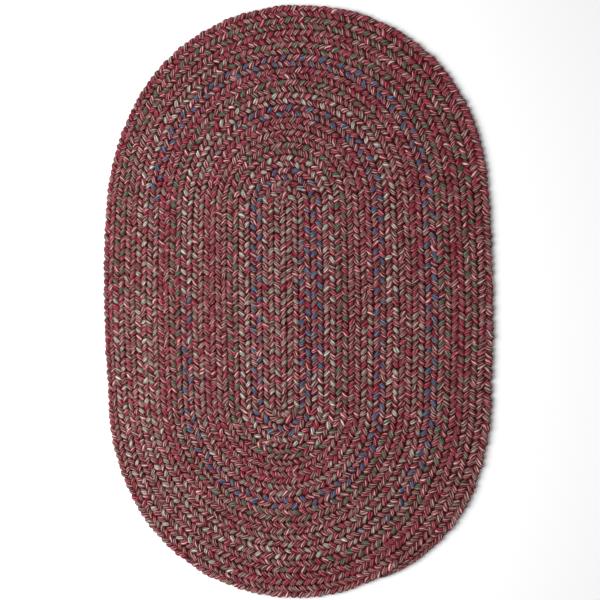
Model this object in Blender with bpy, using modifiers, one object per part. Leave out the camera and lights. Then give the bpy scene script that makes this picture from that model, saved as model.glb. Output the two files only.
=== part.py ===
"""A small oval braided rug, at its real size, lying flat.

One long three-strand braid is wound on edge-to-edge rows around a straight middle seam and laced
row to row. It starts at the lower end of the middle seam, winds outward and ends in a short
tapered tail. The rug is one solid: both faces carry the dip that runs between the rows, and the
crown of each row is flat on the floor. The plaiting itself is finer than this solid.

Metres, +Z up, +Y along the rug. The origin is under the middle of its outline, on the floor.
"""

import math

import bmesh
import bpy
from mathutils import Vector

# The braid
PITCH = 0.01905  # width of one row of braid, dip to dip
THICK = 0.0095  # thickness of the braid, crown to crown
DIP = 0.0025  # depth of the dip between two rows, on each face
SHOULDER = 0.0038  # how far a dip reaches into the row on each side

# The oval
ROWS = 16  # rows on each side of the middle seam
HALF_RUN = 0.150  # half the length of the straight runs
BOW = 0.026  # share by which the quarters are narrower than the middle
BOW_REACH = HALF_RUN + (ROWS - 0.25) * PITCH  # from the middle to the rounded ends

# The tail, by angle around the last bend
TAIL_START = math.radians(27)  # where the last row begins to taper
TAIL_END = math.radians(60)  # where it runs out against the row inside it
TAIL_ROUND = 0.6  # power of the taper, below 1 for a blunt tip

# The outermost row is uneven. Each row of the table is a direction from the middle of the rug,
# counter-clockwise from +X, and how much wider the outermost row is there.
DIRECTION = 0
EXTRA = 1
UNEVEN = (
    (-180, -0.0027),
    (-154, -0.0034),
    (-142, -0.0006),
    (-62, -0.0004),
    (-46, 0.0026),
    (-26, 0.0032),
    (0, 0.0011),
    (26, 0.0040),
    (44, 0.0053),
    (58, 0.0022),
    (80, -0.0015),
    (110, 0.0006),
    (132, -0.0018),
    (154, -0.0004),
    (168, -0.0008),
    (180, -0.0027),
)

# Facets
ARC_STEPS = 18  # facets along each half-circle bend
RUN_STEPS = 4  # facets along each straight run
MERGE = 1e-6  # points nearer than this are one point

DUSKY_ROSE = (0.24, 0.075, 0.085, 1.0)


def uneven_width(x, y):
    """Extra width of the outermost row in the direction of a point, read from the table."""
    direction = math.degrees(math.atan2(y, x))
    for low, high in zip(UNEVEN, UNEVEN[1:]):
        if direction <= high[DIRECTION]:
            along = (direction - low[DIRECTION]) / (high[DIRECTION] - low[DIRECTION])
            return low[EXTRA] + along * (high[EXTRA] - low[EXTRA])
    return UNEVEN[-1][EXTRA]


def taper(turn):
    """Share of its full width that the last row keeps at an angle around the last bend."""
    if turn <= TAIL_START:
        return 1.0
    if turn >= TAIL_END - MERGE:
        return 0.0
    return (1 - (turn - TAIL_START) / (TAIL_END - TAIL_START)) ** TAIL_ROUND


def runs_free(row, turn, on_last_bend):
    """True where the row's outer side is the edge of the rug."""
    if row == ROWS:
        return True
    return row == ROWS - 1 and on_last_bend and turn >= TAIL_END - MERGE


def station(row, middle, out, turn=0.0, on_last_bend=False):
    """One cross-cut of the braid: its middle, its outward direction and its width."""
    width = PITCH
    if runs_free(row, turn, on_last_bend):
        width += uneven_width(*middle)
    if row == ROWS and on_last_bend:
        width *= taper(turn)
    return middle, out, width


def braid_stations():
    """Cross-cuts of the braid in the order it is laid, from the middle seam to the tail."""
    for row in range(1, ROWS + 1):
        run_x = (row - 0.5) * PITCH
        for step in range(RUN_STEPS):
            y = (2 * step / RUN_STEPS - 1) * HALF_RUN
            yield station(row, (-run_x, y), (-1, 0))
        for step in range(ARC_STEPS):
            turn = math.pi * step / ARC_STEPS
            out = (-math.cos(turn), math.sin(turn))
            yield station(row, (out[0] * run_x, HALF_RUN + out[1] * run_x), out)
        for step in range(RUN_STEPS):
            y = (1 - 2 * step / RUN_STEPS) * HALF_RUN
            yield station(row, (run_x, y), (1, 0))
        bend_radius = row * PITCH
        for step in range(ARC_STEPS):
            turn = math.pi * step / ARC_STEPS
            out = (math.cos(turn), -math.sin(turn))
            middle = (out[0] * bend_radius - PITCH / 2, out[1] * bend_radius - HALF_RUN)
            yield station(row, middle, out, turn, on_last_bend=row >= ROWS - 1)
            if row == ROWS and turn >= TAIL_END - MERGE:
                return


def bowed(x, y, z):
    """A point of the plain oval, moved so that the long sides bow out to the middle."""
    narrowing = BOW * math.sin(math.pi * y / BOW_REACH) ** 2
    return Vector((x * (1 - narrowing), y, z))


def cross_cut(middle, out, width):
    """Points across the upper face of a row: dip, shoulder, shoulder, dip."""
    share = width / PITCH
    rise = DIP * min(1.0, share)
    for across, height in ((0, 0), (SHOULDER, rise), (PITCH - SHOULDER, rise), (PITCH, 0)):
        reach = across * share - PITCH / 2
        x = middle[0] + out[0] * reach
        y = middle[1] + out[1] * reach
        yield bowed(x, y, THICK / 2 - DIP + height)


def lay_braid(shape):
    """Upper face of every row, as a strip of faces from each cross-cut to the next."""
    last = None
    for middle, out, width in braid_stations():
        points = [shape.verts.new(point) for point in cross_cut(middle, out, width)]
        if last:
            for inner in range(len(points) - 1):
                outer = inner + 1
                shape.faces.new((last[inner], points[inner], points[outer], last[outer]))
        last = points


def round_start(shape):
    """Half-round start of the braid, at the lower end of the middle seam."""
    dips = []
    shoulders = []
    for step in range(ARC_STEPS + 1):
        turn = math.pi * step / ARC_STEPS
        out = (math.cos(turn), -math.sin(turn))
        _, _, shoulder, dip = cross_cut((-PITCH / 2, -HALF_RUN), out, PITCH)
        shoulders.append(shape.verts.new(shoulder))
        dips.append(shape.verts.new(dip))
    for step in range(ARC_STEPS):
        ahead = step + 1
        shape.faces.new((shoulders[step], shoulders[ahead], dips[ahead], dips[step]))
    shape.faces.new(reversed(shoulders))


def upper_half():
    """Mesh of the rug above its middle plane, open at that plane, centred on the origin."""
    shape = bmesh.new()
    lay_braid(shape)
    round_start(shape)
    bmesh.ops.remove_doubles(shape, verts=shape.verts, dist=MERGE)

    edge_of_rug = [edge for edge in shape.edges if edge.is_boundary]
    wall = bmesh.ops.extrude_edge_only(shape, edges=edge_of_rug)["geom"]
    for vert in wall:
        if isinstance(vert, bmesh.types.BMVert):
            vert.co.z = 0

    xs = [vert.co.x for vert in shape.verts]
    ys = [vert.co.y for vert in shape.verts]
    centre = Vector((min(xs) + max(xs), min(ys) + max(ys), 0)) / 2
    bmesh.ops.translate(shape, verts=shape.verts, vec=-centre)
    bmesh.ops.recalc_face_normals(shape, faces=shape.faces)

    mesh = bpy.data.meshes.new("braided_rug")
    shape.to_mesh(mesh)
    shape.free()
    return mesh


def yarn_material():
    """Heathered yarn, as one plain colour."""
    yarn = bpy.data.materials.new("braided_yarn")
    yarn.use_nodes = True
    shader = yarn.node_tree.nodes["Principled BSDF"]
    shader.inputs["Base Color"].default_value = DUSKY_ROSE
    shader.inputs["Roughness"].default_value = 0.95
    shader.inputs["Metallic"].default_value = 0.0
    return yarn


def make_rug():
    """The rug, its lower face a mirror of its upper one."""
    rug = bpy.data.objects.new("braided_rug", upper_half())
    rug.location.z = THICK / 2
    rug.data.materials.append(yarn_material())

    both_faces = rug.modifiers.new("both_faces", "MIRROR")
    both_faces.use_axis = (False, False, True)
    both_faces.merge_threshold = 0.00005

    parts = bpy.data.collections.new("braided_rug")
    bpy.context.scene.collection.children.link(parts)
    parts.objects.link(rug)


for leftover in list(bpy.data.objects):
    bpy.data.objects.remove(leftover)

make_rug()
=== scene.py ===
"""Braided rug: the look of its yarn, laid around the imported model.

One three-strand braid is wound into a flat oval. Each strand is a bundle of yarns and is modelled
along its own path through the braid, so both faces of the rug and its edge are real plaiting.
"""

import math

import bmesh
import bpy
import numpy as np
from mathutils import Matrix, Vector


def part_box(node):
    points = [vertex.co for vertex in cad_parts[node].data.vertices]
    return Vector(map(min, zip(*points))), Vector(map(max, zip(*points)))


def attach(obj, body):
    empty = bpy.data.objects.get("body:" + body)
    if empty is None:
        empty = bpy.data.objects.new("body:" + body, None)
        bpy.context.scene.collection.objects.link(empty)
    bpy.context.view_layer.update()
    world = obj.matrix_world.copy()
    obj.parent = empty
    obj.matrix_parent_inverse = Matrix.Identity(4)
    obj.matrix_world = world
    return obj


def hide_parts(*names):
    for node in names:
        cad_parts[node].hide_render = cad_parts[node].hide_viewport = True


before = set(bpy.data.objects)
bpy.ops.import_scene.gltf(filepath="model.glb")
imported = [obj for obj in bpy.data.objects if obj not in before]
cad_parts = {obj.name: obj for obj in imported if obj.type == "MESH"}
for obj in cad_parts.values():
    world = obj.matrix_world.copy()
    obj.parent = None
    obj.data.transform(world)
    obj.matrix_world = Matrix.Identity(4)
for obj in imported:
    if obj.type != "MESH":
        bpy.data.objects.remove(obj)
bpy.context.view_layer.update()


# ---------------------------------------------------------------------------------------------
# Camera. It looks down from over the right side of the rug, leaning a little, with the rug's
# length up the picture.

LENS_MM = 54.9
SENSOR_MM = 36
CAMERA_PLACE = (0.358, -0.021, 1.346)
CAMERA_DEGREES = (0.75, 14.21, -0.52)  # turned about X, Y and Z

camera_data = bpy.data.cameras.new("camera")
camera_data.lens = LENS_MM
camera_data.sensor_width = SENSOR_MM
camera = bpy.data.objects.new("camera", camera_data)
camera.location = CAMERA_PLACE
camera.rotation_euler = [math.radians(degrees) for degrees in CAMERA_DEGREES]
bpy.context.scene.collection.objects.link(camera)
bpy.context.scene.camera = camera


# ---------------------------------------------------------------------------------------------
# The three strands of the braid. Each is a bundle of soft spun yarns, plaited with the other two
# into one long braid, which is wound edge to edge around a straight middle seam and laced.
# Two strands are heathered in reds and browns. The third is dyed in long runs of plain colour.

# The rug as it is wound
PITCH = 0.01905  # width of one row of braid
THICK = 0.0095  # thickness of the braid
ROWS = 16  # rows on each side of the middle seam
HALF_RUN = 0.150  # half the length of the straight runs
BOW = 0.026  # share by which the quarters are narrower than the middle
BOW_REACH = HALF_RUN + (ROWS - 0.25) * PITCH  # from the middle to the rounded ends
TIGHTEST = 0.001  # least radius on the inner side of a bend

# The first lower turns are drawn down towards the ones outside them
DRAWN = 0.0055  # at most
DRAWN_FROM = -0.185  # middle of that place, along the rug
DRAWN_REACH = (0.080, 0.045)  # across and along the rug

# The two ends of the braid
START_REACH = 0.45 * PITCH  # of the rounded start, below the middle seam
START_BLUNT = 0.04  # square of the share of its width that the start keeps at its tip
TAIL_START = math.radians(27)  # around the last bend, where the tail begins to taper
TAIL_END = math.radians(60)  # where it runs out against the row inside it
TAIL_ROUND = 0.6  # power of the taper, below 1 for a blunt tip
TAIL_LEAST = 0.1  # share of its width below which the tail gets no thinner

# How much wider the outermost row is in each direction, counter-clockwise from +X
UNEVEN_DEGREES = (-180, -154, -142, -62, -46, -26, 0, 26, 44, 58, 80, 110, 132, 154, 168, 180)
UNEVEN_MM = (
    -2.7, -3.4, -0.6, -0.4, 2.6, 3.2, 1.1, 4.0, 5.3, 2.2, -1.5, 0.6, -1.8, -0.4, -0.8, -2.7,
)

# The plait
STRAND_COUNT = 3
REPEAT = 0.0307  # along the braid, from one edge to the other and back
SWING = 0.0066  # of a strand's middle, from the braid's middle line to each side
SWING_SHARP = 0.90  # towards 1 for straight loops that turn sharply at the edge
RISE = 0.00215  # of a strand's middle, above and below the braid's middle plane
RISE_STEEP = (0.7, 1.8)  # how steeply it rises at the middle of the braid and dives at the edge
LAG = 0.10  # how much later a strand rises than it crosses the middle, in radians of its swing
GROOVE = 0.34  # share by which the loops dip where they meet in the middle of the braid
GROOVE_REACH = 0.0019  # of that dip, to each side
PRESSED = 0.0010  # height over the floor below which the yarn is pressed flat

# One strand
HALF_WIDTH = 0.0045
HALF_DEPTH = 0.0026
BUNCHED = (0.15, 0.46)  # how much narrower and deeper it is where it turns over the edge
SQUARED = 2.1  # power of its pressed section, where 2 is an ellipse
EDGE_ROLL = 4.0  # how sharply it rolls over the edge
YARNS = 12  # around it: pale ones standing proud, dark ones between them
YARN_DIP = 0.12  # how much lower the dark yarns lie, as a share of the strand
SECTIONS = 16  # cross-sections of it in each repeat
CROWDED = 0.22  # how much nearer they are to each other at the edge

# What wanders along the braid: how much at most, metres from one value to the next, random seed
BRAID_TIMING = (0.35, 0.110, 5)  # of all three strands together, in radians of the swing
STRAND_TIMING = (0.32, 0.011, 6)  # of each strand by itself
SWING_STRAY = (0.15, 0.009, 11)  # share of a strand's swing
RISE_STRAY = (0.14, 0.012, 21)  # share of its rise
ROLL = (1.3, 0.090, 31)  # its slow turning about its own middle, in radians
GIRTH = (0.15, 0.010, 41)  # share of its width and depth
LEAN = (0.52, 0.008, 51)  # of its loops to one side, in radians
TWIST = (0.52, 0.007, 61)  # its turning about its own middle within a loop, in radians
SPARE_VALUES = 8  # more than the length of the braid needs

# Painted shade on a strand, and how far its dye shows
TUCK = (0.82, 1.00)  # shares of its half-width between which it goes dark under the next
TUCK_OPEN = 0.7  # share by which that is less where it turns over the edge
SHADED = (0.0040, 0.0011)  # heights over the braid's middle plane between which it goes dark
SHADED_OPEN = 0.5  # share by which that is less where it turns over the edge
LOOP_ENDS = 1.25  # how far off the middle of a loop its ends count, where its sides count as 1

# The flat square map, on which a length of strand is laid out in rows
LAID_ROWS = 20
LAID_GAP = 0.03  # share of such a row left clear along each side
LAID_TOP = 0.985  # height of the rows together, with the two ends of the strand above them
END_SPOTS = ((0.25, 0.9925), (0.75, 0.9925))  # middles of those ends
END_REACH = 0.005


def route_of_braid():
    """Straight runs and bends of the braid, in the order they are laid."""
    route = []
    start = 0.0

    def lay(length, **shape):
        nonlocal start
        route.append(dict(start=start, length=length, **shape))
        start += length

    for row in range(1, ROWS + 1):
        run_x = (row - 0.5) * PITCH
        lay(2 * HALF_RUN, corner=(-run_x, -HALF_RUN), side=-1)
        lay(math.pi * run_x, centre=(0, HALF_RUN), radius=run_x, side=-1)
        lay(2 * HALF_RUN, corner=(run_x, HALF_RUN), side=1)
        radius = row * PITCH
        angle = TAIL_END if row == ROWS else math.pi
        lay(angle * radius, centre=(-PITCH / 2, -HALF_RUN), radius=radius, side=1)
    return route


ROUTE = route_of_braid()
BRAID_LENGTH = ROUTE[-1]["start"] + ROUTE[-1]["length"]
LAST_BEND = ROUTE[-1]["start"]
LAST_ROW = ROUTE[-4]["start"]
BARED = LAST_ROW - ROUTE[-5]["length"] * (1 - TAIL_END / math.pi)  # where the rug's edge begins


def floor_plan(along, across):
    """x and y of points given by their distance along the braid and outward from its middle."""
    x = np.zeros(along.shape)
    y = np.zeros(along.shape)
    for piece in ROUTE:
        end = piece["start"] + piece["length"]
        here = (along >= piece["start"]) & (along < end)
        if piece is ROUTE[0]:
            here = along < end
        if piece is ROUTE[-1]:
            here = along >= piece["start"]
        gone = along[here] - piece["start"]
        out = across[here]
        side = piece["side"]
        if "corner" in piece:
            x[here] = piece["corner"][0] + side * out
            y[here] = piece["corner"][1] - side * gone
        else:
            turn = gone / piece["radius"]
            reach = np.maximum(piece["radius"] + out, TIGHTEST)
            x[here] = piece["centre"][0] + side * reach * np.cos(turn)
            y[here] = piece["centre"][1] - side * reach * np.sin(turn)
    x *= 1 - BOW * np.sin(math.pi * y / BOW_REACH) ** 2
    off_across = (x + PITCH / 2) / DRAWN_REACH[0]
    off_along = (y - DRAWN_FROM) / DRAWN_REACH[1]
    return x, y - DRAWN * np.exp(-(off_across**2 + off_along**2))


def row_width(along):
    """Width of the braid at each place along it, with the uneven outermost row and the tail."""
    x, y = floor_plan(along, np.zeros(along.shape))
    extra = np.interp(np.degrees(np.arctan2(y, x)), UNEVEN_DEGREES, UNEVEN_MM) / 1000
    width = PITCH + np.where(along >= BARED, extra, 0)
    tail = (along - LAST_BEND) / ROUTE[-1]["radius"]
    tapered = np.clip((TAIL_END - tail) / (TAIL_END - TAIL_START), 0, 1) ** TAIL_ROUND
    return width * np.where(along > LAST_BEND, tapered, 1)


def wander(along, stray, order=0):
    """Smooth random values along the braid, for the strand of that order."""
    most, step, seed = stray
    count = int(BRAID_LENGTH / step) + SPARE_VALUES
    knots = np.random.default_rng(seed + order).uniform(-1, 1, count)
    at = (along + START_REACH) / step
    low = np.clip(at.astype(int), 0, count - 2)
    blend = np.clip(at - low, 0, 1)
    blend = blend * blend * (3 - 2 * blend)
    return most * (knots[low] * (1 - blend) + knots[low + 1] * blend)


def sections_along(order):
    """Distance along the braid of a strand's cross-sections, and the phase of its swing there."""
    count = int((BRAID_LENGTH + START_REACH) / REPEAT * SECTIONS)
    along = np.linspace(-START_REACH, BRAID_LENGTH, count)
    phase = 2 * math.pi * (along / REPEAT + order / STRAND_COUNT) + wander(along, BRAID_TIMING)
    phase += wander(along, STRAND_TIMING, order)
    nearer = CROWDED * np.sin(2 * phase)
    return along + nearer * REPEAT / (2 * math.pi), phase + nearer


def strand_middle(along, phase, risen, order):
    """Middle line of a strand in the straight braid: along it, across it and above its middle."""
    swing = SWING * (1 + wander(along, SWING_STRAY, order))
    rise = RISE * (1 + wander(along, RISE_STRAY, order))
    side = np.arcsin(SWING_SHARP * np.sin(phase)) / math.asin(SWING_SHARP)
    at_middle = np.cos(phase) ** 2
    steep = RISE_STEEP[0] * at_middle + RISE_STEEP[1] * (1 - at_middle)
    return np.stack([along, swing * side, rise * np.tanh(steep * risen) / np.tanh(steep)], axis=1)


def section_axes(middle, phase, order):
    """Directions of a strand's width and of its depth at each cross-section."""
    heading = np.gradient(middle, axis=0)
    heading /= np.linalg.norm(heading, axis=1, keepdims=True)
    rolled = math.pi / 2 * (1 - np.tanh(EDGE_ROLL * np.cos(phase)) / math.tanh(EDGE_ROLL))
    rolled += wander(middle[:, 0], LEAN, order)
    up = np.stack([np.zeros(len(phase)), np.sin(rolled), np.cos(rolled)], axis=1)
    up -= heading * np.sum(heading * up, axis=1, keepdims=True)
    up /= np.linalg.norm(up, axis=1, keepdims=True)
    return np.cross(up, heading), up


def yarns_around(along, order):
    """How far each yarn lies from a strand's middle, along its width and along its depth."""
    yarn = np.arange(YARNS)
    roll = wander(along, ROLL, order) + wander(along, TWIST, order)
    angle = yarn * 2 * math.pi / YARNS + roll[:, None]
    cosine = np.cos(angle)
    sine = np.sin(angle)
    lobe = np.where(yarn % 2, 1.0, 1 - YARN_DIP)
    lobe = lobe / (np.abs(cosine) ** SQUARED + np.abs(sine) ** SQUARED) ** (1 / SQUARED)
    fat = 1 + wander(along, GIRTH, order)[:, None]
    return HALF_WIDTH * fat * lobe * cosine, HALF_DEPTH * fat * lobe * sine


def wound_into_rug(along, across, height):
    """Points of the straight braid, moved to their places in the rug."""
    start = np.sqrt(np.clip(1 - (np.minimum(along, 0) / START_REACH) ** 2, START_BLUNT, 1))
    width = row_width(along)
    x, y = floor_plan(along, (across * start / PITCH + 0.5) * width - PITCH / 2)
    z = THICK / 2 + height * (start * np.sqrt(np.clip(width / PITCH, TAIL_LEAST, 1)))
    z = np.where(z < PRESSED, PRESSED * np.exp(np.minimum(z / PRESSED, 1) - 1), z)
    return np.stack([x, y, z], axis=-1)


def strand_points(order):
    """Distance along the braid of each section of a strand, and its points around each section.

    With each point goes how dark its painted shade makes it, under the next strand and deep in the
    braid, and how far off the middle of its loop it lies.
    """
    along, phase = sections_along(order)
    at_edge = np.sin(phase)[:, None] ** 4
    risen = np.sin(2 * (phase - LAG))
    middle = strand_middle(along, phase, risen, order)
    sideways, up = section_axes(middle, phase, order)
    wide, deep = yarns_around(along, order)
    off_side = np.abs(wide) / HALF_WIDTH
    wide *= 1 - BUNCHED[0] * at_edge
    deep *= 1 + BUNCHED[1] * at_edge
    points = middle[:, None] + sideways[:, None] * wide[..., None] + up[:, None] * deep[..., None]
    points[..., 2] *= 1 - GROOVE * np.exp(-((points[..., 1] / GROOVE_REACH) ** 2))

    # Painted shade: darker where the strand goes under the next and where it lies deep in the
    # braid, less so where it turns over the edge.
    beneath = np.clip((off_side - TUCK[0]) / (TUCK[1] - TUCK[0]), 0, 1)
    inside = np.clip((np.abs(points[..., 2]) - SHADED[0]) / (SHADED[1] - SHADED[0]), 0, 1)
    lit = (1 - beneath * (1 - TUCK_OPEN * at_edge)) * (1 - inside * (1 - SHADED_OPEN * at_edge))
    off_middle = np.hypot(off_side, LOOP_ENDS * (1 - np.abs(risen))[:, None])
    return along, wound_into_rug(*np.moveaxis(points, -1, 0)), 1 - lit, off_middle


def strand_mesh(name, points):
    """Closed mesh of a length of strand, with a cap at each end."""
    sections = len(points)
    row = np.arange(sections - 1)[:, None] * YARNS
    here = np.arange(YARNS)[None]
    after = (here + 1) % YARNS
    ahead = row + YARNS
    quads = np.stack([row + here, row + after, ahead + after, ahead + here], axis=-1)
    first_cap = np.arange(YARNS)[::-1]
    last_cap = np.arange(YARNS) + (sections - 1) * YARNS
    loops = np.concatenate([quads.reshape(-1), first_cap, last_cap])
    starts = np.append(np.arange(0, quads.size, 4), [quads.size, quads.size + YARNS])

    mesh = bpy.data.meshes.new(name)
    mesh.vertices.add(sections * YARNS)
    mesh.vertices.foreach_set("co", points.reshape(-1))
    mesh.loops.add(len(loops))
    mesh.loops.foreach_set("vertex_index", loops)
    mesh.polygons.add(len(starts))
    mesh.polygons.foreach_set("loop_start", starts)
    mesh.update(calc_edges=True)
    mesh.validate()
    mesh.shade_smooth()
    return mesh


def corners_of_faces(sections):
    """Section of each corner of a strand's faces, and its place around the strand from 0 to 1."""
    shape = (sections - 1, YARNS, 4)
    section = np.arange(sections - 1)[:, None, None] + np.broadcast_to((0, 0, 1, 1), shape)
    turned = np.arange(YARNS)[None, :, None] + np.broadcast_to((0, 1, 1, 0), shape)
    return section, turned / YARNS


def add_map(mesh, name, on_faces, on_caps):
    """A map of a strand, given for the corners of its faces and then for those of its caps."""
    places = np.concatenate([np.stack(on_faces, axis=-1).reshape(-1, 2), *on_caps])
    mesh.uv_layers.new(name=name).data.foreach_set("uv", places.reshape(-1))


def map_strand(mesh, lengthwise):
    """One map around and along a strand, for its yarns, and one that lays it out flat in rows."""
    sections = len(lengthwise)
    section, around = corners_of_faces(sections)
    add_map(mesh, "strand", (around, lengthwise[section]), 2 * [np.zeros((YARNS, 2))])

    per_row = math.ceil((sections - 1) / LAID_ROWS)
    laid_row = np.arange(sections - 1)[:, None, None] // per_row
    along_row = (section - laid_row * per_row) / per_row
    up_row = LAID_GAP + around * (1 - 2 * LAID_GAP)
    turn = 2 * math.pi * np.arange(YARNS) / YARNS
    disc = END_REACH * np.stack([np.cos(turn), np.sin(turn)], axis=-1)
    laid = (along_row, (laid_row + up_row) / LAID_ROWS * LAID_TOP)
    add_map(mesh, "OFBake", laid, [disc + spot for spot in END_SPOTS])


def add_values(mesh, name, values):
    """A value at each point of a strand, for its material."""
    mesh.attributes.new(name, "FLOAT", "POINT").data.foreach_set("value", values.reshape(-1))


def linear(red, green, blue):
    """A colour as eyes judge it, from 0 to 255, in the linear values that shaders take."""
    seen = np.array([red, green, blue]) / 255
    return np.where(seen > 0.04045, ((seen + 0.055) / 1.055) ** 2.4, seen / 12.92)


# Dyes, and the metres along the braid where each run of them begins. The third strand takes them
# all, and the first one takes only the crimson.
DYES = {
    "sage": linear(154, 149, 134),
    "blue": linear(82, 105, 135),
    "pale": linear(180, 179, 168),
    "green": linear(95, 112, 90),
    "crimson": linear(160, 66, 84),
}
RUNS = (
    (-1.00, "sage"),
    (1.10, "blue"),
    (2.19, "pale"),
    (3.26, "green"),
    (4.40, "plain"),
    (5.56, "crimson"),
    (6.76, "sage"),
    (7.77, "blue"),
    (9.00, "pale"),
    (10.00, "green"),
    (11.24, "plain"),
    (12.15, "crimson"),
    (13.36, "sage"),
    (14.45, "blue"),
    (15.64, "pale"),
    (16.69, "green"),
    (17.91, "plain"),
    (18.84, "crimson"),
    (20.20, "pale"),
    (20.68, "green"),
    (21.94, "plain"),
    (22.94, "crimson"),
    (24.08, "plain"),
)
RUN_APART = 0.07  # metres by which a run begins sooner or later on each pair of yarns
RUN_SEED = 303


def run_dyes(along, dyes):
    """Dye of each pair of yarns at each section of a strand, and 1 after it where a run shows."""
    apart = np.random.default_rng(RUN_SEED).uniform(-RUN_APART, RUN_APART, YARNS // 2)
    begins = np.array([start for start, _ in RUNS])
    run = np.searchsorted(begins, along[:, None] + apart) - 1
    dye = np.zeros((len(along), YARNS // 2, 4))
    for index, (_, name) in enumerate(RUNS):
        if name in dyes:
            dye[run == index] = (*DYES[name], 1)
    return dye


def paint_runs(mesh, dye):
    """The dyes of a length of strand, as a colour of its mesh."""
    section, _ = corners_of_faces(len(dye))
    pair = np.broadcast_to(np.arange(YARNS)[None, :, None] // 2, section.shape)
    colour = np.concatenate([dye[section, pair].reshape(-1, 4), np.ones((2 * YARNS, 4))])
    run_dye = mesh.color_attributes.new("run_dye", "FLOAT_COLOR", "CORNER")
    run_dye.data.foreach_set("color", colour.reshape(-1))


def feed(tree, socket, term):
    """Link an output into a socket, or set the socket's own number or colour."""
    if isinstance(term, bpy.types.NodeSocket):
        tree.links.new(term, socket)
    else:
        socket.default_value = term


def calc(tree, operation, *terms):
    """Output of a Math node on numbers or sockets."""
    node = tree.nodes.new("ShaderNodeMath")
    node.operation = operation
    for socket, term in zip(node.inputs, terms):
        feed(tree, socket, term)
    return node.outputs[0]


def spread(tree, *terms):
    """Output of a Combine XYZ node on numbers or sockets."""
    node = tree.nodes.new("ShaderNodeCombineXYZ")
    for socket, term in zip(node.inputs, terms):
        feed(tree, socket, term)
    return node.outputs[0]


def cloudy(tree, vector, scale=1.0, detail=0.0):
    """Value of a Noise Texture node."""
    node = tree.nodes.new("ShaderNodeTexNoise")
    node.noise_dimensions = "3D"
    node.inputs["Scale"].default_value = scale
    node.inputs["Detail"].default_value = detail
    tree.links.new(vector, node.inputs["Vector"])
    return node.outputs["Fac"]


def changing(tree, along, length, number, apart=1.0, level=0.0):
    """Noise that changes over each length of strand, and from one number of a yarn to the next."""
    across = calc(tree, "MULTIPLY", number, apart)
    return cloudy(tree, spread(tree, calc(tree, "DIVIDE", along, length), across, level))


def mixed(tree, factor, first, second, blend="MIX"):
    """Colour output of a Mix node on colours or sockets."""
    node = tree.nodes.new("ShaderNodeMix")
    node.data_type = "RGBA"
    node.blend_type = blend
    for name, term in (("Factor_Float", factor), ("A_Color", first), ("B_Color", second)):
        feed(tree, next(s for s in node.inputs if s.identifier == name), term)
    return next(s for s in node.outputs if s.identifier == "Result_Color")


def lit_by(tree, colour, light):
    """A colour made lighter or darker by a value."""
    return mixed(tree, 1.0, colour, spread(tree, light, light, light), "MULTIPLY")


def new_group(name, inputs, outputs):
    """A shader node group with its sockets, and its input and output nodes."""
    tree = bpy.data.node_groups.new(name, "ShaderNodeTree")
    for title, value in inputs:
        socket = tree.interface.new_socket(title, in_out="INPUT", socket_type="NodeSocketFloat")
        socket.default_value = value
    for title, kind in outputs:
        tree.interface.new_socket(title, in_out="OUTPUT", socket_type=kind)
    given = tree.nodes.new("NodeGroupInput").outputs
    return tree, given, tree.nodes.new("NodeGroupOutput").inputs


# The lay of the yarns. A pair of numbers is a share of a value and what is added to it.
STRAY_AROUND = 4.0  # how often the straying changes around a strand
PLY_STEP = 0.37  # turns from the ply of one yarn to that of the next
PLY_RISE = 0.9  # of the ply over a yarn, where a yarn's own crown is 1
FIBRES = (2.0, 450.0)  # across each yarn, and along a metre of it
FIBRE_RISE = 0.6
# Painted shade: a yarn's light falls off down its sides and along the twist of its plies. The
# patches and fibres vary its tone at random.
CROWN_LIGHT = (1.04, 0.085)
PLY_LIGHT = (0.8, 0.82)
PATCH_LIGHT = (0.8, 0.6)
FIBRE_LIGHT = (1.2, 0.45)


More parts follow.
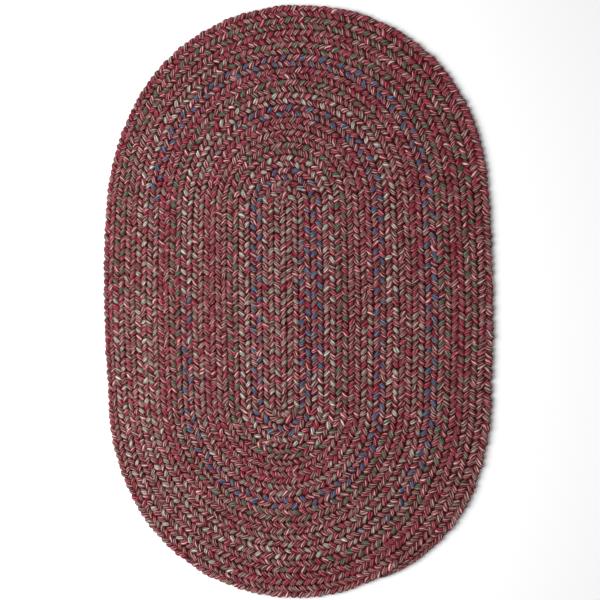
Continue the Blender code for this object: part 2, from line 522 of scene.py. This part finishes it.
def lay_of_yarns_group():
    """Where each yarn runs, how high it stands, and its light: painted shade and random tone."""
    tree, given, result = new_group(
        "lay_of_yarns",
        [("Yarns", YARNS), ("Twist Length", 0.002), ("Stray Length", 0.007), ("Stray", 2.6)],
        [
            ("Yarn", "NodeSocketFloat"),
            ("Along", "NodeSocketFloat"),
            ("Height", "NodeSocketFloat"),
            ("Light", "NodeSocketFloat"),
        ],
    )
    uv = tree.nodes.new("ShaderNodeUVMap")
    uv.uv_map = "strand"
    split = tree.nodes.new("ShaderNodeSeparateXYZ")
    tree.links.new(uv.outputs["UV"], split.inputs[0])
    around = split.outputs["X"]
    along = split.outputs["Y"]
    stray_length = given["Stray Length"]

    astray = changing(tree, along, stray_length, around, STRAY_AROUND)
    astray = calc(tree, "MULTIPLY_ADD", astray, given["Stray"], 0.5)
    counted = calc(tree, "MULTIPLY_ADD", around, given["Yarns"], astray)
    yarn = calc(tree, "FLOOR", counted)
    across = calc(tree, "SUBTRACT", counted, yarn)
    yarn = calc(tree, "FLOORED_MODULO", yarn, given["Yarns"])
    side = calc(tree, "MULTIPLY_ADD", across, 2.0, -1.0)
    crown = calc(tree, "SUBTRACT", 1.0, calc(tree, "MULTIPLY", side, side))

    turns = calc(tree, "DIVIDE", along, given["Twist Length"])
    turns = calc(tree, "ADD", turns, calc(tree, "MULTIPLY_ADD", yarn, PLY_STEP, across))
    ply = calc(tree, "PINGPONG", turns, 0.5)
    fibre_across = calc(tree, "MULTIPLY", counted, FIBRES[0])
    fibre_along = calc(tree, "MULTIPLY", along, FIBRES[1])
    fibre = cloudy(tree, spread(tree, fibre_across, fibre_along), scale=2.0, detail=2.0)
    patch = changing(tree, along, stray_length, yarn, apart=9.1, level=7.0)

    height = calc(tree, "MULTIPLY_ADD", ply, PLY_RISE, crown)
    height = calc(tree, "MULTIPLY_ADD", fibre, FIBRE_RISE, height)
    # Painted shade down the sides of each yarn and along its plies, times random tone of patches
    # and fibres
    light = calc(tree, "MULTIPLY_ADD", crown, *CROWN_LIGHT)
    light = calc(tree, "MULTIPLY", light, calc(tree, "MULTIPLY_ADD", ply, *PLY_LIGHT))
    light = calc(tree, "MULTIPLY", light, calc(tree, "MULTIPLY_ADD", patch, *PATCH_LIGHT))
    light = calc(tree, "MULTIPLY", light, calc(tree, "MULTIPLY_ADD", fibre, *FIBRE_LIGHT))
    tree.links.new(yarn, result["Yarn"])
    tree.links.new(along, result["Along"])
    tree.links.new(height, result["Height"])
    tree.links.new(light, result["Light"])
    return tree


def ramp_of(tree, pick, bands):
    """Colour of a Color Ramp node through the bands, spaced evenly."""
    ramp = tree.nodes.new("ShaderNodeValToRGB")
    tree.links.new(pick, ramp.inputs[0])
    stops = ramp.color_ramp.elements
    while len(stops) < len(bands):
        stops.new(1.0)
    for index, (stop, colour) in enumerate(zip(stops, bands)):
        stop.position = index / (len(bands) - 1)
        stop.color = (*colour, 1)
    return ramp.outputs["Color"]


# The heathered colours. A length is of strand, from one value to the next.
STRANDS_APART = 31.7  # from the numbers of one strand's yarns to those of the next
DRIFT_LENGTH = 0.03  # in which the colour of one yarn drifts
SLOW_LENGTH = 0.35  # in which those of the whole strand drift
DRIFT = 2.4  # how far through the bands, in each case
OWN_SHADE = 0.25  # how far through the bands a yarn is from the ones beside it, at most
MUTED_LENGTH = 0.014  # in which the yarns go from plain to streaky
MUTED = (3.0, -0.5)  # share of that noise, and what is added
LEAST_CONTRAST = 0.88  # between the proud and sunk yarns where they are plain
DEPTH_LENGTH = 0.018  # in which the strand goes from darker to paler
DEPTH = (0.9, 0.07)  # share of that noise, and what is added


def heather_group(name, proud_bands, sunk_bands):
    """Colours of the yarns of a heathered strand, the proud ones and the ones between them."""
    tree, given, result = new_group(
        name,
        [("Yarn", 0.0), ("Along", 0.0), ("Seed", 0.0)],
        [("Color", "NodeSocketColor")],
    )
    along = given["Along"]
    seed = given["Seed"]
    lone = calc(tree, "MULTIPLY_ADD", seed, STRANDS_APART, given["Yarn"])
    random = tree.nodes.new("ShaderNodeTexWhiteNoise")
    random.noise_dimensions = "1D"
    tree.links.new(lone, random.inputs["W"])
    drift = changing(tree, along, DRIFT_LENGTH, lone, apart=0.3)
    slow = changing(tree, along, SLOW_LENGTH, seed)
    pick = calc(tree, "MULTIPLY", slow, DRIFT)
    pick = calc(tree, "MULTIPLY_ADD", random.outputs["Value"], OWN_SHADE, pick)
    pick = calc(tree, "FRACT", calc(tree, "MULTIPLY_ADD", drift, DRIFT, pick))
    proud = ramp_of(tree, pick, proud_bands)
    sunk = ramp_of(tree, pick, sunk_bands)

    muted = changing(tree, along, MUTED_LENGTH, seed, apart=3.3)
    contrast = calc(tree, "MULTIPLY_ADD", muted, *MUTED)
    contrast = calc(tree, "MAXIMUM", contrast, LEAST_CONTRAST)
    contrast = calc(tree, "MINIMUM", contrast, 1.0)
    depth = changing(tree, along, DEPTH_LENGTH, seed, apart=7.1, level=3.0)
    depth = calc(tree, "MULTIPLY_ADD", depth, *DEPTH)
    is_proud = calc(tree, "SUBTRACT", calc(tree, "FLOORED_MODULO", given["Yarn"], 2.0), 0.5)
    paleness = calc(tree, "MULTIPLY_ADD", is_proud, contrast, depth)
    tree.links.new(mixed(tree, paleness, sunk, proud), result["Color"])
    return tree


BURGUNDY = linear(104, 26, 41)
CRIMSON = linear(170, 53, 77)
ROSE = linear(190, 98, 109)
PALE_PINK = linear(220, 171, 167)
WINE = linear(130, 42, 58)
MAUVE = linear(118, 62, 82)
TAUPE = linear(164, 136, 128)
GREY = linear(156, 146, 136)
BROWN = linear(78, 46, 42)

lay_of_yarns = lay_of_yarns_group()
rose_heather = heather_group(
    "rose_heather",
    (ROSE, PALE_PINK, TAUPE, ROSE, CRIMSON, PALE_PINK, ROSE),
    (BURGUNDY, WINE, BROWN, BURGUNDY, WINE, BURGUNDY, BURGUNDY),
)
taupe_heather = heather_group(
    "taupe_heather",
    (TAUPE, PALE_PINK, TAUPE, GREY, ROSE, GREY, TAUPE),
    (BROWN, WINE, BROWN, MAUVE, BURGUNDY, BURGUNDY, BROWN),
)


def new_material(name, roughness, shine):
    """A material, its node tree and its shader."""
    material = bpy.data.materials.new(name)
    material.use_nodes = True
    shader = material.node_tree.nodes["Principled BSDF"]
    shader.inputs["Roughness"].default_value = roughness
    shader.inputs["Specular IOR Level"].default_value = shine
    return material, material.node_tree, shader


def value_on(tree, name):
    """The value that a strand's points carry by that name."""
    node = tree.nodes.new("ShaderNodeAttribute")
    node.attribute_name = name
    return node.outputs["Fac"]


def bumped(tree, height, strength, distance):
    """Normal output of a Bump node."""
    bump = tree.nodes.new("ShaderNodeBump")
    bump.inputs["Strength"].default_value = strength
    bump.inputs["Distance"].default_value = distance
    tree.links.new(height, bump.inputs["Height"])
    return bump.outputs["Normal"]


DYE_SHADE = (0.6, 0.89)  # of a dye along a yarn: share of the noise, and what is added
DYE_SHADE_LENGTH = 0.03
# Painted shade: a dye on a sunk yarn, lying lower, is half as light as on a proud one.
DYE_PROUD = (0.50, 0.50)  # light of a dye on a proud yarn over a sunk one, and on the sunk one
DYE_RAGGED = 0.9  # how much farther a dye shows on some yarns than on others
DYE_RAGGED_LENGTH = 0.02
DYE_EDGE = 7.0  # how sharply it gives way to the heathered yarn
SHADE_LENGTH = 0.006  # in which the shade under the next strand goes from thin to deep
SHADE_DEPTH = (3.2, -0.75)  # share of that noise, and what is added
SHADE_TINT = (0.34, 0.070, 0.065, 1)
NO_SHADE = (1, 1, 1, 1)


def dye_on_yarns_group():
    """How light a dye is on each yarn, with painted shade on the sunk ones, and a mask of the
    loops' middles, where it shows.
    """
    tree, given, result = new_group(
        "dye_on_yarns",
        [("Yarn", 0.0), ("Along", 0.0), ("Off Middle", 0.0), ("Reach", 0.5)],
        [("Light", "NodeSocketFloat"), ("Shown", "NodeSocketFloat")],
    )
    light = changing(tree, given["Along"], DYE_SHADE_LENGTH, given["Yarn"], apart=3.1)
    light = calc(tree, "MULTIPLY_ADD", light, *DYE_SHADE)
    # Painted shade: a dye is darker on the sunk yarns, which lie lower between the proud ones.
    is_proud = calc(tree, "FLOORED_MODULO", given["Yarn"], 2.0)
    light = calc(tree, "MULTIPLY", light, calc(tree, "MULTIPLY_ADD", is_proud, *DYE_PROUD))

    ragged = changing(tree, given["Along"], DYE_RAGGED_LENGTH, given["Yarn"], apart=2.2)
    reach = calc(tree, "SUBTRACT", given["Reach"], DYE_RAGGED / 2)
    reach = calc(tree, "MULTIPLY_ADD", ragged, DYE_RAGGED, reach)
    shown = calc(tree, "SUBTRACT", reach, given["Off Middle"])
    shown = calc(tree, "MAXIMUM", calc(tree, "MULTIPLY", shown, DYE_EDGE), 0.0)
    tree.links.new(light, result["Light"])
    tree.links.new(calc(tree, "MINIMUM", shown, 1.0), result["Shown"])
    return tree


def dive_shade_group():
    """Painted shade where a strand dives under the next or lies deep, deeper on some yarns than on
    others.
    """
    tree, given, result = new_group(
        "dive_shade",
        [("Yarn", 0.0), ("Along", 0.0), ("Painted Shade", 0.0)],
        [("Shade", "NodeSocketColor")],
    )
    depth = changing(tree, given["Along"], SHADE_LENGTH, given["Yarn"], apart=3.7)
    depth = calc(tree, "MULTIPLY_ADD", depth, *SHADE_DEPTH)
    depth = calc(tree, "MULTIPLY", given["Painted Shade"], depth)
    tree.links.new(mixed(tree, depth, NO_SHADE, SHADE_TINT), result["Shade"])
    return tree


dye_on_yarns = dye_on_yarns_group()
dive_shade = dive_shade_group()


def place_group(tree, group, given):
    """Outputs of a shader node group placed in a material, its inputs linked or set by name."""
    node = tree.nodes.new("ShaderNodeGroup")
    node.node_tree = group
    for name, term in given.items():
        feed(tree, node.inputs[name], term)
    return node.outputs


def yarn_material(name, heather, seed, dye_reach=None):
    """Soft spun yarn, matt, with painted shade between the yarns and where the strand dives under
    the next.

    The dye of a run, where the strand has any, reaches that far off the middle of each loop.
    """
    material, tree, shader = new_material(name, roughness=0.85, shine=0.05)
    lay = place_group(tree, lay_of_yarns, {"Twist Length": 0.0021, "Stray Length": 0.007})
    here = {"Yarn": lay["Yarn"], "Along": lay["Along"]}
    colour = place_group(tree, heather, {**here, "Seed": seed})["Color"]
    if dye_reach:
        run_dye = tree.nodes.new("ShaderNodeVertexColor")
        run_dye.layer_name = "run_dye"
        off_middle = value_on(tree, "off_middle")
        dye = place_group(
            tree, dye_on_yarns, {**here, "Off Middle": off_middle, "Reach": dye_reach}
        )
        dyed = lit_by(tree, run_dye.outputs["Color"], dye["Light"])
        shown = calc(tree, "MULTIPLY", dye["Shown"], run_dye.outputs["Alpha"])
        colour = mixed(tree, shown, colour, dyed)
    # Painted shade: the lay's light darkens each yarn down its sides, and the dive shade darkens
    # the strand under the next and deep in the braid.
    colour = lit_by(tree, colour, lay["Light"])
    painted_shade = value_on(tree, "painted_shade")
    shade = place_group(tree, dive_shade, {**here, "Painted Shade": painted_shade})["Shade"]
    colour = mixed(tree, 1.0, colour, shade, "MULTIPLY")
    tree.links.new(colour, shader.inputs["Base Color"])
    normal = bumped(tree, lay["Height"], strength=0.8, distance=0.0005)
    tree.links.new(normal, shader.inputs["Normal"])
    return material


# The rug's own middle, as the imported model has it
OUTLINE_POINTS = 4000
OUTLINE_BEFORE = 1.5  # metres of braid before the last row from which the outline is taken

edge_along = np.linspace(LAST_ROW - OUTLINE_BEFORE, BRAID_LENGTH, OUTLINE_POINTS)
edge_x, edge_y = floor_plan(edge_along, row_width(edge_along) - PITCH / 2)
low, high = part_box("braided_rug")
centre_x = (low[0] + high[0] - edge_x.min() - edge_x.max()) / 2
centre_y = (low[1] + high[1] - edge_y.min() - edge_y.max()) / 2

STRANDS = (
    ("rose_strand", yarn_material("rose_yarn", rose_heather, 1.0, dye_reach=0.44), ("crimson",)),
    ("taupe_strand", yarn_material("taupe_yarn", taupe_heather, 2.0), ()),
    ("dyed_strand", yarn_material("dyed_yarn", taupe_heather, 3.0, dye_reach=0.75), tuple(DYES)),
)
for order, (strand_name, material, dyes) in enumerate(STRANDS):
    along, points, painted_shade, off_middle = strand_points(order)
    points[..., 0] += centre_x
    points[..., 1] += centre_y
    half = len(along) // 2
    for part, cut in (("inner", slice(0, half + 1)), ("outer", slice(half, None))):
        name = f"{strand_name}_{part}"
        mesh = strand_mesh(name, points[cut])
        map_strand(mesh, along[cut])
        add_values(mesh, "painted_shade", painted_shade[cut])
        if dyes:
            add_values(mesh, "off_middle", off_middle[cut])
            paint_runs(mesh, run_dyes(along[cut], dyes))
        mesh.materials.append(material)
        strand = bpy.data.objects.new(name, mesh)
        bpy.context.scene.collection.objects.link(strand)
        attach(strand, "root")


# ---------------------------------------------------------------------------------------------
# Painted shade inside the braid: a dark closed sheet where the strands cross and the lacing runs.
# It dips between the rows as the rug does, and shows only as the dark between the loops.

CROWN_HALF = 0.0020  # half the sheet's thickness along the middle of a row
DIP_HALF = 0.0011  # and between two rows
SHOULDER = 0.0055  # from a dip to the full thickness
INSET = 0.0035  # of the sheet's rim from the edge of the rug
RUN_STEPS = 6  # facets along each straight run
BEND_STEPS = 36  # facets along each half-circle bend
MERGE = 1e-5  # points nearer than this are one point
HOLE_SIDES = 60  # most edges around the two small holes at the ends of the middle seam

# Painted shade: the dark colours of the sheet between the loops
SHADE_SHEET_BANDS = (linear(26, 7, 8), linear(44, 11, 12), linear(76, 26, 29), linear(72, 46, 42))
SHADE_SHEET_SPREAD = (2.4, -0.7)  # through those bands: share of the noise, and what is added
SHADE_SHEET_FIBRES = (220.0, 1100.0)  # in a metre, along them and across them


def sheet_stations():
    """Distances along the braid of the sheet's cross-cuts, in line from each row to the next."""
    stations = []
    for piece in ROUTE:
        steps = RUN_STEPS
        if "radius" in piece:
            steps = round(BEND_STEPS * piece["length"] / (math.pi * piece["radius"]))
        stations.append(piece["start"] + piece["length"] * np.arange(steps) / steps)
    return np.append(np.concatenate(stations), BRAID_LENGTH)


def upper_face(shape):
    """Upper face of the sheet, wound row by row as the braid is, into the given mesh."""
    stations = sheet_stations()
    free = stations > BARED + MERGE
    width = np.where(free, row_width(stations), PITCH)
    share = width / PITCH
    reach = width - np.where(free, INSET * share, 0)
    ridges = (
        (0, DIP_HALF),
        (SHOULDER, CROWN_HALF),
        (PITCH - SHOULDER, CROWN_HALF),
        (PITCH, DIP_HALF),
    )
    across_row = []
    for across, half in ridges:
        x, y = floor_plan(stations, across * reach / PITCH - PITCH / 2)
        z = DIP_HALF + (half - DIP_HALF) * np.minimum(share, 1)
        places = zip(x + centre_x, y + centre_y, z)
        across_row.append([shape.verts.new(place) for place in places])
    for inner, outer in zip(across_row, across_row[1:]):
        for here in range(len(stations) - 1):
            shape.faces.new((inner[here], inner[here + 1], outer[here + 1], outer[here]))
    bmesh.ops.remove_doubles(shape, verts=shape.verts, dist=MERGE)
    open_edges = [edge for edge in shape.edges if edge.is_boundary]
    bmesh.ops.holes_fill(shape, edges=open_edges, sides=HOLE_SIDES)


def inner_sheet_mesh():
    """Closed mesh of the sheet: its upper face and half its rim, and the mirror of both."""
    shape = bmesh.new()
    upper_face(shape)
    rim = [edge for edge in shape.edges if edge.is_boundary]
    for item in bmesh.ops.extrude_edge_only(shape, edges=rim)["geom"]:
        if isinstance(item, bmesh.types.BMVert):
            item.co.z = 0
    everything = [*shape.verts, *shape.edges, *shape.faces]
    bmesh.ops.mirror(shape, geom=everything, axis="Z", merge_dist=MERGE)
    bmesh.ops.translate(shape, verts=shape.verts, vec=(0, 0, THICK / 2))
    bmesh.ops.recalc_face_normals(shape, faces=shape.faces)
    mesh = bpy.data.meshes.new("shade_sheet")
    shape.to_mesh(mesh)
    shape.free()
    return mesh


def shade_sheet_material():
    """Painted shade for the dark sheet: dark heathered colours, with fibres running slantwise."""
    material, tree, shader = new_material("shade_sheet_colour", roughness=1.0, shine=0.0)
    place = tree.nodes.new("ShaderNodeSeparateXYZ")
    tree.links.new(tree.nodes.new("ShaderNodeTexCoord").outputs["Object"], place.inputs[0])
    lengthwise = calc(tree, "ADD", place.outputs["X"], place.outputs["Y"])
    lengthwise = calc(tree, "MULTIPLY", lengthwise, SHADE_SHEET_FIBRES[0])
    crosswise = calc(tree, "SUBTRACT", place.outputs["X"], place.outputs["Y"])
    crosswise = calc(tree, "MULTIPLY", crosswise, SHADE_SHEET_FIBRES[1])
    fibres = cloudy(tree, spread(tree, lengthwise, crosswise), detail=2.0)
    pick = calc(tree, "MULTIPLY_ADD", fibres, *SHADE_SHEET_SPREAD)
    tree.links.new(ramp_of(tree, pick, SHADE_SHEET_BANDS), shader.inputs["Base Color"])
    normal = bumped(tree, fibres, strength=0.9, distance=0.0006)
    tree.links.new(normal, shader.inputs["Normal"])
    return material


inner_mesh = inner_sheet_mesh()
inner_mesh.materials.append(shade_sheet_material())
shade_sheet = bpy.data.objects.new("shade_sheet", inner_mesh)
bpy.context.scene.collection.objects.link(shade_sheet)
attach(shade_sheet, "root")
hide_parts("braided_rug")


# ---------------------------------------------------------------------------------------------
# Floor and light. The rug lies loose on a plain pale floor, in the even light of a pale room, with
# one broad soft lamp above its left side.

FLOOR_REACH = 4
FLOOR_PALE = (0.96, 0.96, 0.96, 1)
ROOM_LIGHT = (1, 1, 1, 1)
ROOM_STRENGTH = 0.42
LAMP_SIDE = 1.2
LAMP_WATTS = 27
LAMP_PLACE = (-0.75, -0.05, 1.25)
LAMP_DEGREES = (2, -31, 0)  # turned about X, Y and Z

floor_mesh = bpy.data.meshes.new("floor")
floor_signs = ((-1, -1), (1, -1), (1, 1), (-1, 1))
floor_corners = [(x * FLOOR_REACH, y * FLOOR_REACH, 0) for x, y in floor_signs]
floor_mesh.from_pydata(floor_corners, [], [(0, 1, 2, 3)])
floor_material, _, floor_shader = new_material("floor", roughness=1.0, shine=0.5)
floor_shader.inputs["Base Color"].default_value = FLOOR_PALE
floor_mesh.materials.append(floor_material)
floor = bpy.data.objects.new("floor", floor_mesh)
bpy.context.scene.collection.objects.link(floor)

world = bpy.data.worlds.new("studio")
world.use_nodes = True
background = world.node_tree.nodes["Background"]
background.inputs["Color"].default_value = ROOM_LIGHT
background.inputs["Strength"].default_value = ROOM_STRENGTH
bpy.context.scene.world = world

lamp_data = bpy.data.lights.new("softbox", "AREA")
lamp_data.shape = "RECTANGLE"
lamp_data.size = LAMP_SIDE
lamp_data.size_y = LAMP_SIDE
lamp_data.energy = LAMP_WATTS
lamp = bpy.data.objects.new("softbox", lamp_data)
lamp.location = LAMP_PLACE
lamp.rotation_euler = [math.radians(degrees) for degrees in LAMP_DEGREES]
bpy.context.scene.collection.objects.link(lamp)
bpy.context.scene.view_settings.view_transform = "Standard"
